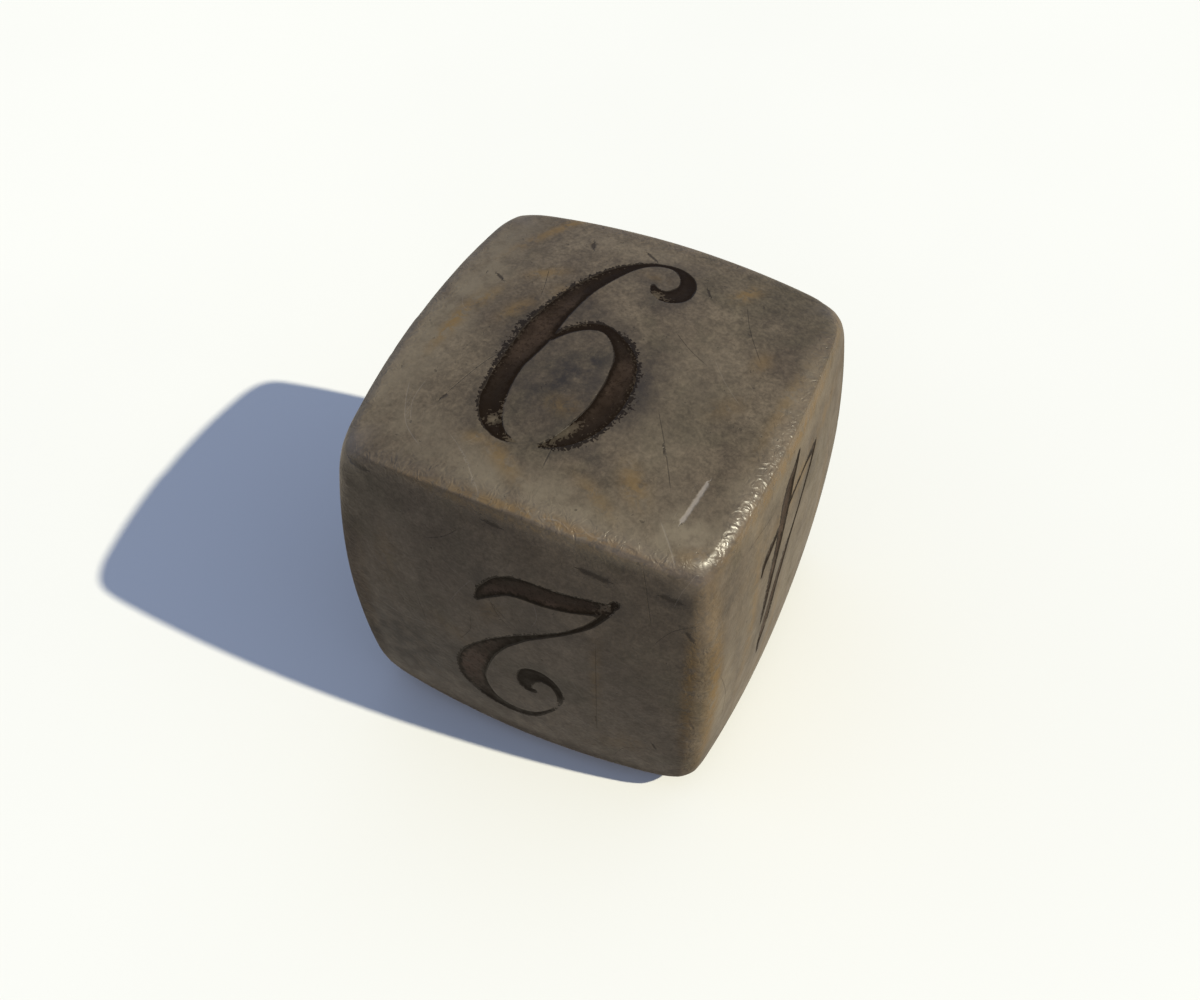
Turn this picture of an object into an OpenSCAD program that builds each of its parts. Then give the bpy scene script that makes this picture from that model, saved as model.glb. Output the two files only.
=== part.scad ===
// Six-sided numbered die: a solid bone body with crowned faces, and six engraved numerals filled with pigment.
// Opposite numerals add up to seven. The die stands on the face of the one, with the six on top.

/* [Die] */
// Distance across the worn flats of two opposite faces
die_size = 19; // [12:0.5:30]
// Radius of a face's crown, as a share of the die's size
crown_ratio = 2.9; // [2.3:0.1:6]
// Radius of the rounded edges, as a share of the die's size
edge_ratio = 0.048; // [0.03:0.002:0.06]
// Diameter of the flat worn into the middle of each face
flat_d = 4.4; // [2:0.2:6]

/* [Numerals] */
// Size of the numerals, as a share of their normal size
numeral_scale = 1; // [0.7:0.05:1.05]
// Depth of the engraving under the crown
engraving_depth = 0.32; // [0.2:0.02:0.8]
// How far the pigment lies below the crown
pigment_inset = 0.06; // [0.02:0.01:0.15]
// Straight steps between two points of a pen stroke
stroke_steps = 4; // [2:1:8]

/* [Hidden] */

bone = "#8f8168";
pigment = "#2a211a";

half = die_size / 2;
crown_r = crown_ratio * die_size;
edge_r = edge_ratio * die_size;
// The crown would rise this far above the worn flat
crown_rise = crown_r - sqrt(crown_r * crown_r - flat_d * flat_d / 4);
// Distance from the die's centre to the centre of a face's crown
crown_offset = crown_r - half - crown_rise;

// A rolling ball of radius edge_r touches two neighbouring crowns: its centre runs on a circle of this radius
spine_r = sqrt(pow(crown_r - edge_r, 2) - crown_offset * crown_offset / 2);
// The ball touches each crown at this angle from the circle's plane
touch_angle = asin(crown_offset / sqrt(2) / (crown_r - edge_r));
// The fillet crosses the crown at a slight angle, so that no two surfaces are tangent
fillet_r = edge_r + 0.005;
// Each coordinate of the point where the three circles of a corner meet
corner_v = (sqrt(3 * pow(crown_r - edge_r, 2) - 2 * crown_offset * crown_offset) - crown_offset) / 3;
// A fillet stops just short of that point, this far round its circle from the edge's middle
fillet_sweep = asin((corner_v - 0.12 * edge_r) / spine_r);
// The corners are worn down to a ball about the die's centre, which takes the fillets' ends with them
corner_r = corner_v * sqrt(3) + 0.66 * edge_r;

// The numerals' prisms start this far under the faces
prism_depth = 0.2 * die_size;

// Tilt that turns +Z to each face's outward normal, and the numeral's spin on that face
TOP = [[0, 0, 0], 0];
BOTTOM = [[180, 0, 0], 0];
FRONT = [[90, 0, 0], 180];
BACK = [[90, 0, 180], 0];
RIGHT = [[90, 0, 90], 180];
LEFT = [[90, 0, -90], 0];

// A numeral is a list of pen strokes. A stroke's points are [x, y, width], as shares of the die's half size.
ONE = [
    [[-0.27, 0.34, 0.015], [-0.19, 0.37, 0.03], [-0.09, 0.45, 0.045], [0.0, 0.57, 0.05], [0.05, 0.67, 0.02]],
    [[0.055, 0.68, 0.012], [0.05, 0.56, 0.08], [0.035, 0.4, 0.125], [0.015, 0.2, 0.145], [-0.01, 0.0, 0.15],
     [-0.035, -0.2, 0.14], [-0.06, -0.4, 0.115], [-0.09, -0.54, 0.07], [-0.12, -0.6, 0.04]],
    [[-0.31, -0.52, 0.012], [-0.25, -0.565, 0.045], [-0.16, -0.59, 0.07], [-0.05, -0.585, 0.075],
     [0.06, -0.575, 0.07], [0.15, -0.545, 0.05], [0.22, -0.48, 0.012]],
];
TWO = [
    [[-0.115, 0.3, 0.012], [-0.082, 0.308, 0.045], [-0.058, 0.26, 0.075], [-0.08, 0.182, 0.1],
     [-0.145, 0.155, 0.082], [-0.21, 0.195, 0.05], [-0.237, 0.27, 0.035], [-0.23, 0.35, 0.018],
     [-0.205, 0.42, 0.016], [-0.165, 0.48, 0.018], [-0.11, 0.545, 0.026], [-0.04, 0.59, 0.042],
     [0.03, 0.598, 0.052], [0.09, 0.585, 0.065], [0.15, 0.55, 0.09], [0.2, 0.49, 0.13], [0.23, 0.42, 0.15],
     [0.235, 0.33, 0.155], [0.212, 0.24, 0.15], [0.172, 0.15, 0.13], [0.12, 0.07, 0.1], [0.06, -0.005, 0.075],
     [0.0, -0.065, 0.058], [-0.08, -0.135, 0.036], [-0.17, -0.203, 0.026], [-0.25, -0.259, 0.02],
     [-0.325, -0.326, 0.022], [-0.385, -0.388, 0.028], [-0.432, -0.455, 0.03], [-0.47, -0.52, 0.032],
     [-0.495, -0.58, 0.03]],
    [[-0.475, -0.565, 0.03], [-0.42, -0.528, 0.085], [-0.34, -0.507, 0.105], [-0.25, -0.49, 0.118],
     [-0.15, -0.483, 0.13], [-0.05, -0.482, 0.13], [0.03, -0.455, 0.112], [0.088, -0.402, 0.09],
     [0.137, -0.345, 0.058], [0.165, -0.29, 0.012]],
];
THREE = [
    [[-0.2, 0.4, 0.02], [-0.165, 0.385, 0.05], [-0.15, 0.43, 0.07], [-0.19, 0.5, 0.06], [-0.17, 0.575, 0.04],
     [-0.1, 0.625, 0.026], [-0.02, 0.63, 0.03], [0.07, 0.6, 0.06], [0.14, 0.52, 0.1], [0.155, 0.41, 0.11],
     [0.12, 0.29, 0.09], [0.05, 0.19, 0.05], [-0.03, 0.12, 0.024], [-0.09, 0.085, 0.012]],
    [[-0.1, 0.075, 0.012], [-0.02, 0.1, 0.03], [0.07, 0.085, 0.055], [0.15, 0.02, 0.095], [0.2, -0.09, 0.13],
     [0.205, -0.22, 0.145], [0.165, -0.35, 0.13], [0.09, -0.47, 0.09], [-0.01, -0.555, 0.05],
     [-0.11, -0.58, 0.026], [-0.2, -0.545, 0.024], [-0.255, -0.47, 0.036], [-0.25, -0.385, 0.06],
     [-0.19, -0.34, 0.075], [-0.135, -0.375, 0.05], [-0.14, -0.425, 0.02]],
];
FOUR = [
    [[0.378, 0.02, 0.01], [0.357, -0.08, 0.035], [0.325, -0.2, 0.05], [0.285, -0.31, 0.065],
     [0.235, -0.42, 0.078], [0.187, -0.52, 0.092], [0.145, -0.61, 0.11], [0.1, -0.675, 0.095],
     [0.045, -0.715, 0.055], [-0.03, -0.78, 0.015]],
    [[0.338, 0.32, 0.01], [0.353, 0.23, 0.036], [0.323, 0.13, 0.082], [0.288, 0.03, 0.086], [0.245, -0.09, 0.075],
     [0.18, -0.2, 0.055], [0.1, -0.3, 0.036], [0.0, -0.39, 0.026], [-0.1, -0.475, 0.026],
     [-0.19, -0.545, 0.034], [-0.245, -0.592, 0.03]],
    [[-0.265, -0.605, 0.012], [-0.225, -0.598, 0.035], [-0.17, -0.603, 0.03], [-0.1, -0.605, 0.018],
     [0.0, -0.593, 0.018], [0.1, -0.572, 0.024], [0.19, -0.538, 0.028], [0.27, -0.505, 0.032],
     [0.34, -0.475, 0.042], [0.395, -0.443, 0.036], [0.425, -0.39, 0.012]],
];
FIVE = [
    [[-0.1, 0.575, 0.02], [-0.04, 0.6, 0.07], [0.04, 0.585, 0.105], [0.13, 0.575, 0.11], [0.21, 0.605, 0.08],
     [0.26, 0.67, 0.015]],
    [[-0.085, 0.585, 0.02], [-0.11, 0.47, 0.026], [-0.14, 0.35, 0.028], [-0.17, 0.215, 0.026],
     [-0.19, 0.12, 0.012]],
    [[-0.2, 0.1, 0.012], [-0.13, 0.17, 0.028], [-0.04, 0.205, 0.04], [0.05, 0.18, 0.065], [0.13, 0.105, 0.1],
     [0.18, -0.01, 0.135], [0.185, -0.15, 0.15], [0.145, -0.3, 0.14], [0.07, -0.43, 0.1], [-0.03, -0.53, 0.056],
     [-0.13, -0.57, 0.028], [-0.22, -0.545, 0.024], [-0.27, -0.475, 0.036], [-0.265, -0.395, 0.06],
     [-0.21, -0.35, 0.072], [-0.16, -0.385, 0.048], [-0.165, -0.43, 0.02]],
];
SIX = [
    [[0.022, 0.53, 0.015], [0.055, 0.488, 0.05], [0.11, 0.476, 0.08], [0.162, 0.51, 0.098], [0.178, 0.57, 0.085],
     [0.16, 0.63, 0.07], [0.115, 0.672, 0.045], [0.06, 0.69, 0.022], [-0.02, 0.675, 0.02],
     [-0.09, 0.63, 0.036], [-0.152, 0.56, 0.066], [-0.205, 0.47, 0.086], [-0.25, 0.37, 0.1],
     [-0.285, 0.25, 0.12], [-0.31, 0.12, 0.14], [-0.322, 0.0, 0.155], [-0.333, -0.1, 0.14],
     [-0.345, -0.2, 0.118], [-0.345, -0.3, 0.115], [-0.33, -0.42, 0.118], [-0.288, -0.52, 0.1],
     [-0.22, -0.585, 0.056], [-0.15, -0.605, 0.024], [-0.08, -0.607, 0.012]],
    [[-0.25, -0.01, 0.025], [-0.2, 0.07, 0.036], [-0.13, 0.13, 0.042], [-0.06, 0.15, 0.045], [0.0, 0.128, 0.05],
     [0.06, 0.08, 0.075], [0.11, 0.01, 0.1], [0.142, -0.09, 0.125], [0.153, -0.2, 0.132],
     [0.145, -0.32, 0.132], [0.112, -0.42, 0.12], [0.066, -0.5, 0.09], [0.015, -0.555, 0.05],
     [-0.03, -0.588, 0.02], [-0.09, -0.607, 0.012]],
];
// The round blot where the two's base stroke starts
TWO_BLOT = [-0.495, -0.58, 0.046];

// A point on the smooth curve from b to c, between its neighbours a and d, at t from 0 to 1
function along(a, b, c, d, t) =
    0.5 * (2 * b + (c - a) * t + (2 * a - 5 * b + 4 * c - d) * t * t + (3 * b - a - 3 * c + d) * t * t * t);

// A stroke's points with the steps between them filled in
function smoothed(stroke) = [
    for (i = [0 : len(stroke) - 2], k = [0 : stroke_steps - 1])
        along(stroke[max(i - 1, 0)], stroke[i], stroke[i + 1], stroke[min(i + 2, len(stroke) - 1)], k / stroke_steps),
    stroke[len(stroke) - 1]
];

// The point beside a line's point i, half the pen's width to the left (side 1) or right (side -1)
function beside(line, i, side) =
    let (ahead = line[min(i + 1, len(line) - 1)] - line[max(i - 1, 0)], across = [-ahead[1], ahead[0]])
    [line[i][0], line[i][1]] + across / norm(across) * side * line[i][2] / 2;

function outline(line) = concat(
    [for (i = [0 : len(line) - 1]) beside(line, i, 1)],
    [for (i = [len(line) - 1 : -1 : 0]) beside(line, i, -1)]
);

// One pen stroke as an upright prism through the face's surface
module stroke_prism(stroke) {
    pen = half * numeral_scale;
    translate([0, 0, half - prism_depth])
        linear_extrude(height = prism_depth + 1)
            polygon(outline(smoothed(stroke)) * pen);
}

module blot_prism(blot) {
    pen = half * numeral_scale;
    translate([blot[0] * pen, blot[1] * pen, half - prism_depth])
        cylinder(h = prism_depth + 1, r = blot[2] / 2 * pen, $fn = 32);
}

module numeral_prism(strokes) {
    for (stroke = strokes) stroke_prism(stroke);
    if (strokes == TWO) blot_prism(TWO_BLOT);
}

// The sphere of a face's crown, that far below the crown's surface, for the face that looks along +Z
module crown(below = 0) {
    translate([0, 0, -crown_offset])
        rotate([0, 90, 0]) sphere(r = crown_r - below, $fn = 200);
}

module on_face(face) {
    rotate(face[0]) rotate([0, 0, face[1]]) children();
}

// An arc around the line between two crowns' centres, which cuts their shared edge round
module edge_cutter() {
    reach = 3 * edge_r;
    rotate([0, 0, 90 - fillet_sweep])
        rotate_extrude(angle = 2 * fillet_sweep, $fn = 200)
            translate([spine_r, 0])
                difference() {
                    polygon([
                        [0, 0],
                        [cos(touch_angle), sin(touch_angle)] * reach,
                        [reach, 0],
                        [cos(touch_angle), -sin(touch_angle)] * reach
                    ]);
                    circle(r = fillet_r, $fn = 64);
                }
}

// The cutter for the edge between the faces that look along +X and +Y
module upright_edge_cutter() {
    translate([-crown_offset / 2, -crown_offset / 2, 0])
        rotate([0, 0, -45]) rotate([0, 90, 0]) edge_cutter();
}

module edge_cutters() {
    for (axis = [[0, 0, 0], [90, 0, 0], [0, 90, 0]], turn = [0 : 90 : 270])
        rotate(axis) rotate([0, 0, turn]) upright_edge_cutter();
}

// The die before engraving, about its own centre
module blank() {
    difference() {
        intersection() {
            crown();
            rotate([180, 0, 0]) crown();
            rotate([90, 0, 0]) crown();
            rotate([-90, 0, 0]) crown();
            rotate([0, 90, 0]) crown();
            rotate([0, -90, 0]) crown();
            rotate([15, 25, 35]) sphere(r = corner_r, $fn = 200);
            cube(die_size, center = true);
        }
        edge_cutters();
    }
}

// The groove of one numeral, from its floor outwards
module engraving(strokes, face) {
    on_face(face)
        difference() {
            numeral_prism(strokes);
            crown(below = engraving_depth);
        }
}

// The pigment in one numeral's groove
module pigment_fill(strokes, face) {
    color(pigment)
        translate([0, 0, half])
            on_face(face)
                difference() {
                    intersection() {
                        numeral_prism(strokes);
                        crown(below = pigment_inset);
                    }
                    crown(below = engraving_depth);
                }
}

module die_body() {
    color(bone)
        translate([0, 0, half])
            difference() {
                blank();
                engraving(ONE, BOTTOM);
                engraving(TWO, FRONT);
                engraving(THREE, LEFT);
                engraving(FOUR, RIGHT);
                engraving(FIVE, BACK);
                engraving(SIX, TOP);
            }
}

module numeral_one() { pigment_fill(ONE, BOTTOM); }
module numeral_two() { pigment_fill(TWO, FRONT); }
module numeral_three() { pigment_fill(THREE, LEFT); }
module numeral_four() { pigment_fill(FOUR, RIGHT); }
module numeral_five() { pigment_fill(FIVE, BACK); }
module numeral_six() { pigment_fill(SIX, TOP); }

die_body();
numeral_one();
numeral_two();
numeral_three();
numeral_four();
numeral_five();
numeral_six();
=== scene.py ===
"""The looks of a numbered bone die: a worn, crowned bone body and six pigment-filled engraved numerals."""
import math

import bpy
import numpy as np
from mathutils import Matrix, Vector


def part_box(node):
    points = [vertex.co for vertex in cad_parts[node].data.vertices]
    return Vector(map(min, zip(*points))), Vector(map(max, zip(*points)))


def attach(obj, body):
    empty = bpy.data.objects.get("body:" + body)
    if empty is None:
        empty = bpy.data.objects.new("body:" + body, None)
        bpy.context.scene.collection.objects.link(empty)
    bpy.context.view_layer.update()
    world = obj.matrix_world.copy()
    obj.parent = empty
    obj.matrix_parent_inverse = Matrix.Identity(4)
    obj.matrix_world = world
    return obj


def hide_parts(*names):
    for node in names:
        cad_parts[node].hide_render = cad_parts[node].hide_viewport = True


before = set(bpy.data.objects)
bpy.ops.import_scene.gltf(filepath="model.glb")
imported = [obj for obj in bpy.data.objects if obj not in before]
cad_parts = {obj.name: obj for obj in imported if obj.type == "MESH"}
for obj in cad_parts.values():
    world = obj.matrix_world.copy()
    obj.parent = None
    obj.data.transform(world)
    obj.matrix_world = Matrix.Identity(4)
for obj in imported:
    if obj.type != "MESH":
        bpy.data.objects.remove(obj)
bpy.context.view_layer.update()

MM = 0.001
LOW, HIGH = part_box("die_body")
SIZE = (HIGH.x - LOW.x) / MM
HALF = SIZE / 2
CENTRE = (LOW + HIGH) / 2

# The form, in millimetres about the die's own centre: a face is part of a sphere, with a worn flat in its
# middle, and an edge is the path of a ball that rolls inside two of the spheres.
CROWN_R = 2.9 * SIZE
EDGE_R = 0.046 * SIZE
FLAT_R = 2.2
# The sphere's height before its flat was worn, and how far past the die's centre its own centre lies.
APEX = HALF + CROWN_R - math.sqrt(CROWN_R ** 2 - FLAT_R ** 2)
OFFSET = CROWN_R - APEX
# The radius of the ball's path, the turn from an edge's middle to its face, and how far along each axis the
# ball's centre lies in a corner.
SPINE_R = math.sqrt((CROWN_R - EDGE_R) ** 2 - OFFSET ** 2 / 2)
TOUCH = math.asin(OFFSET / math.sqrt(2) / (CROWN_R - EDGE_R))
CORNER_V = (math.sqrt(3 * (CROWN_R - EDGE_R) ** 2 - 2 * OFFSET ** 2) - OFFSET) / 3

# How far the whole surface, the edges and the corners are rubbed in, and the reach of the corners' wear.
SURFACE_WEAR = 0.03
EDGE_WEAR = 0.03
CORNER_WEAR = 0.1
CORNER_BLEND = 0.5
# Where the rims and the corners start and where they are in full, in shares of the half size.
RIM = (0.72, 0.93)
CORNER = (0.68, 0.88)

# The top's roll meets the front and the right side in a crease. How far past the edge's middle the crease
# lies, how much farther at the corner that those two sides share, and where it fades out at its ends.
CREASE_TURN = math.radians(3)
CREASE_WIDER = math.radians(14)
CREASE_FADE = (0.6, 0.82)

# Waviness of the surface: depth in millimetres, size of its features and seed.
WAVES = ((0.018, 6.5, 3), (0.008, 2.6, 5))
# Dents and nicks along the edges: depth, size, seed, and the noise at which they start and are in full.
# DENT_SHARE is how much of them shows.
DENTS = ((0.05, 1.5, 11, 0.35, 0.85), (0.035, 0.55, 17, 0.55, 0.9))
DENT_SHARE = 0.7

# Cells across a face of the body's mesh, and the cell size of the pigment's mesh.
CELLS = 190
PIGMENT_CELL = 0.07
# How near a vertex of the body has to lie to a numeral's outline to be moved onto it, in cells.
SNAP = 0.45
# Rays from the die's centre, in half sizes: inside its form, outside it, and how often they are halved.
RAY_START = 0.8
RAY_END = 1.75
HALVINGS = 24

# The engraving's depth, how far in from its outline it is that deep, and its raggedness, given as waves are.
GROOVE = 0.34
GROOVE_SLOPE = 0.35
RAGGED = ((0.012, 0.3, 23),)
# How far below the bone the pigment's top lies, how much lower its middle is, and where its underside lies.
PIGMENT_TOP = 0.016
PIGMENT_SAG = 0.03
PIGMENT_BOTTOM = 0.32
# How far it reaches past its outline, into the bone, the margin of its grid, and its top's waviness.
PIGMENT_TUCK = 0.02
PIGMENT_MARGIN = 0.3
PIGMENT_GRAIN = ((0.006, 0.22, 31), (0.008, 0.7, 37))

# Each numeral's face: the axis it looks along, and that axis's sign.
FACES = {
    "numeral_one": (2, -1),
    "numeral_two": (1, -1),
    "numeral_three": (0, -1),
    "numeral_four": (0, 1),
    "numeral_five": (1, 1),
    "numeral_six": (2, 1),
}
# Distances from an outline are clamped to this many millimetres.
FAR = 2.0
# Marks are looked for within this many millimetres, and NO_MARK is the place across one where none is near.
REACH = 0.4
NO_MARK = 9.0
# Points per go.
CHUNK = 4000


# ---- noise

def hashed(cell, seed):
    """A number from -1 to 1 for each whole-number cell."""
    n = cell[..., 0] * 374761393 + cell[..., 1] * 668265263 + cell[..., 2] * 1440662683
    n = n + seed * 974634777
    n = (n ^ (n >> 13)) * 1274126177
    n = (n ^ (n >> 16)) & 0xFFFFFF
    return n / float(0x7FFFFF) - 1.0


def noise(points, cell, seed):
    """Smooth noise from -1 to 1, with features about one cell across."""
    grid = points / cell + 1000.0
    base = np.floor(grid).astype(np.int64)
    part = grid - base
    part = part * part * (3 - 2 * part)
    total = np.zeros(len(points))
    for dx in (0, 1):
        for dy in (0, 1):
            for dz in (0, 1):
                weight = np.ones(len(points))
                for axis, d in enumerate((dx, dy, dz)):
                    weight = weight * (part[:, axis] if d else 1 - part[:, axis])
                total += weight * hashed(base + np.array([dx, dy, dz]), seed)
    return total


def unevenness(points, waves):
    """The sum of several noises, each with its depth, size and seed."""
    return sum(depth * noise(points, size, seed) for depth, size, seed in waves)


def smoothstep(low, high, value):
    """Runs smoothly from 0 to 1 as value goes from low to high."""
    t = np.clip((value - low) / (high - low), 0, 1)
    return t * t * (3 - 2 * t)


# ---- the numerals' outlines, from the CAD nodes

def plane_axes(axis):
    """The two axes of a face's plane."""
    return [i for i in range(3) if i != axis]


def outline_segments(node):
    """The numeral's outline on its face, as segments in millimetres about the die's centre, and its caps."""
    axis, sign = FACES[node]
    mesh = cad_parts[node].data
    mesh.calc_loop_triangles()
    co = np.array([v.co for v in mesh.vertices])
    co = (co - np.array(CENTRE)) / MM
    tris = np.array([t.vertices for t in mesh.loop_triangles])
    corners = co[tris]
    normal = np.cross(corners[:, 1] - corners[:, 0], corners[:, 2] - corners[:, 0])
    length = np.linalg.norm(normal, axis=1)
    keep = length > 1e-9
    corners, facing = corners[keep], normal[keep, axis] / length[keep]
    flat = corners[:, :, plane_axes(axis)]
    # The caps look outwards. A wall is seen edge on, so its longest side is its stretch of the outline.
    caps = flat[facing * sign > 0.5]
    walls = flat[np.abs(facing) < 0.3]
    sides = [(walls[:, a], walls[:, b]) for a, b in ((0, 1), (1, 2), (2, 0))]
    lengths = np.array([np.linalg.norm(b - a, axis=1) for a, b in sides])
    longest = lengths.argmax(0)
    pick = np.arange(len(walls))
    starts = np.array([a for a, b in sides])[longest, pick]
    ends = np.array([b for a, b in sides])[longest, pick]
    return starts, ends, caps


OUTLINES = {node: outline_segments(node) for node in FACES}


def cross2(u, v):
    """The cross product of vectors in a plane."""
    return u[..., 0] * v[..., 1] - u[..., 1] * v[..., 0]


def in_triangles(points, triangles):
    """Which points lie in any of the triangles."""
    found = np.zeros(len(points), bool)
    for a, b, c in triangles:
        low = np.minimum(np.minimum(a, b), c) - 1e-6
        high = np.maximum(np.maximum(a, b), c) + 1e-6
        near = np.flatnonzero(((points >= low) & (points <= high)).all(1) & ~found)
        if len(near) == 0:
            continue
        p = points[near]
        sides = [cross2(v - u, p - u) for u, v in ((a, b), (b, c), (c, a))]
        all_left = np.minimum(np.minimum(sides[0], sides[1]), sides[2]) >= -1e-9
        all_right = np.maximum(np.maximum(sides[0], sides[1]), sides[2]) <= 1e-9
        found[near[all_left | all_right]] = True
    return found


def nearest_on_segments(points, starts, along):
    """For each point its nearest segment, the place along that, the gap from there, and the gap's size."""
    p = points[:, None, :]
    span = np.maximum((along ** 2).sum(1), 1e-12)
    t = np.clip(((p - starts) * along).sum(2) / span, 0, 1)
    gap = p - (starts + t[..., None] * along)
    size = np.sqrt((gap ** 2).sum(2))
    best = size.argmin(1)
    row = np.arange(len(points))
    return best, t[row, best], gap[row, best], size[row, best]


def outline_distance(node, points):
    """Distance from a numeral's outline, negative inside, and the outline's outward direction there."""
    starts, ends, caps = OUTLINES[node]
    distance = np.full(len(points), FAR)
    outward = np.zeros((len(points), 2))
    low = np.minimum(starts, ends).min(0) - FAR
    high = np.maximum(starts, ends).max(0) + FAR
    near = np.flatnonzero(((points > low) & (points < high)).all(1))
    for chunk in np.array_split(near, max(1, len(near) // CHUNK)):
        _, _, gap, size = nearest_on_segments(points[chunk], starts, ends - starts)
        distance[chunk] = size
        outward[chunk] = gap / np.maximum(size, 1e-9)[:, None]
    inside = np.zeros(len(points), bool)
    inside[near] = in_triangles(points[near], caps)
    distance[inside] *= -1
    outward[inside] *= -1
    return np.clip(distance, -FAR, FAR), outward


# ---- the body's form

def excess(points):
    """How far points lie outside the rounded, crowned cube; negative inside. All in millimetres."""
    q = np.abs(points)
    unit = np.eye(3)
    out = q.max(1) - HALF
    for i in range(3):
        out = np.maximum(out, np.linalg.norm(q + OFFSET * unit[i], axis=1) - CROWN_R)
    for i, j in ((0, 1), (1, 2), (0, 2)):
        middle = -OFFSET / 2 * (unit[i] + unit[j])
        across = (q - middle) @ (unit[i] - unit[j]) / math.sqrt(2)
        radial = np.sqrt(np.maximum(((q - middle) ** 2).sum(1) - across ** 2, 0)) - SPINE_R
        on_edge = (radial > 0) & (np.abs(across) < radial * math.tan(TOUCH))
        out = np.where(on_edge, np.maximum(out, np.hypot(across, radial) - EDGE_R), out)
    corner = np.full(3, CORNER_V)
    normals = corner + OFFSET * unit
    rel = q - corner
    on_corner = (rel @ np.linalg.inv(normals) > 0).all(1)
    return np.where(on_corner, np.maximum(out, np.linalg.norm(rel, axis=1) - EDGE_R), out)


def quad_corners(grid):
    """The values at the four corners of each quad of a grid, in order round it."""
    return np.stack([grid[:-1, :-1], grid[1:, :-1], grid[1:, 1:], grid[:-1, 1:]])


def cube_grid(cells):
    """Directions on a cube's surface grid, with shared edges, and its quads."""
    steps = np.arange(cells + 1)
    a, b = np.meshgrid(steps, steps, indexing="ij")
    keys, quads = [], []
    for axis in range(3):
        for end in (0, cells):
            lattice = np.zeros((cells + 1, cells + 1, 3), np.int64)
            first, second = plane_axes(axis)
            lattice[..., axis] = end
            lattice[..., first] = a
            lattice[..., second] = b
            key = (lattice[..., 0] * (cells + 1) + lattice[..., 1]) * (cells + 1) + lattice[..., 2]
            keys.append(key)
            loops = quad_corners(key).reshape(4, -1).T
            quads.append(loops[:, ::-1] if (end == 0) != (axis == 1) else loops)
    unique = np.unique(np.concatenate([k.ravel() for k in keys]))
    lattice = np.stack([unique // (cells + 1) ** 2, unique // (cells + 1), unique], 1) % (cells + 1)
    faces = np.searchsorted(unique, np.concatenate(quads))
    return lattice * (2.0 / cells) - 1.0, faces


def surface_points(directions):
    """Where rays from the die's centre leave its form."""
    rays = directions / np.linalg.norm(directions, axis=1)[:, None]
    near = np.full(len(rays), RAY_START * HALF)
    far = np.full(len(rays), RAY_END * HALF)
    for _ in range(HALVINGS):
        middle = (near + far) / 2
        outside = excess(rays * middle[:, None]) > 0
        far = np.where(outside, middle, far)
        near = np.where(outside, near, middle)
    # A ball about the die's centre rubs the corners down, with a soft blend into the edges.
    ball = math.sqrt(3) * CORNER_V + EDGE_R - CORNER_WEAR
    overlap = np.maximum(CORNER_BLEND - np.abs(near - ball), 0) / CORNER_BLEND
    near = np.minimum(near, ball) - overlap ** 2 * CORNER_BLEND / 4
    return rays * near[:, None]


def rim_amount(points):
    """From 0 on a face's middle to 1 at the rolled edges."""
    q = np.sort(np.abs(points), axis=1)
    return smoothstep(RIM[0] * HALF, RIM[1] * HALF, q[:, 1])


def corner_amount(points):
    """1 at the corners, 0 away from them."""
    return smoothstep(CORNER[0] * HALF, CORNER[1] * HALF, np.abs(points).min(1))


def edge_turn(points):
    """How far past a top edge's middle a point lies, in radians round the roll, and the axis of the side."""
    q = np.abs(points)
    side_axis = q[:, :2].argmax(1)
    side = q[:, :2].max(1)
    across = (side - q[:, 2]) / math.sqrt(2)
    outward = (side + q[:, 2] + OFFSET) / math.sqrt(2)
    radial = np.hypot(outward, q[:, :2].min(1)) - SPINE_R
    turn = np.arctan2(across, np.maximum(radial, 1e-6))
    return np.where(radial > 0, turn, np.sign(across) * math.pi / 2), side_axis


def near_shared_corner(points):
    """1 near the upright edge that the front and right sides share, and 0 well away from it."""
    return smoothstep(0.3, 0.9, (points[:, 0] - points[:, 1]) / (2 * HALF))


def along_crease(points):
    """1 along the top's front and right edges, fading to 0 towards their ends, and 0 elsewhere."""
    q = np.abs(points)
    faced = np.where(q[:, 0] > q[:, 1], points[:, 0] > 0, points[:, 1] < 0)
    fade = smoothstep(CREASE_FADE[0] * HALF, CREASE_FADE[1] * HALF, q[:, :2].min(1))
    return (1 - fade) * faced * (points[:, 2] > 0)


def crease_turn(points):
    """How far past the edge's middle the crease lies, in radians round the roll."""
    return CREASE_TURN + CREASE_WIDER * near_shared_corner(points)


def crease_rise(points):
    """How far the crease stands out: the side runs on flat up to it, and the top's roll rises to meet it."""
    turn = edge_turn(points)[0]
    crease = crease_turn(points)
    height = EDGE_R * (1 / np.cos(TOUCH - crease) - 1)
    side = EDGE_R * (1 / np.cos(np.clip(TOUCH - turn, 0, TOUCH - crease)) - 1)
    top = height * np.clip((turn + TOUCH) / (crease + TOUCH), 0, 1) ** 2
    return np.where(turn > crease, side, top) * along_crease(points)


def onto_crease(points):
    """The form's points, slid round the edge so that the row on its middle lies on the crease instead."""
    turn, side_axis = edge_turn(points)
    shift = crease_turn(points) * np.clip(1 - np.abs(turn) / TOUCH, 0, 1) * along_crease(points)
    middle = turn + shift / 2 + math.pi / 4
    row = np.arange(len(points))
    moved = points.copy()
    moved[row, side_axis] += np.sign(points[row, side_axis]) * EDGE_R * shift * np.cos(middle)
    moved[:, 2] -= EDGE_R * shift * np.sin(middle)
    return moved


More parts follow.
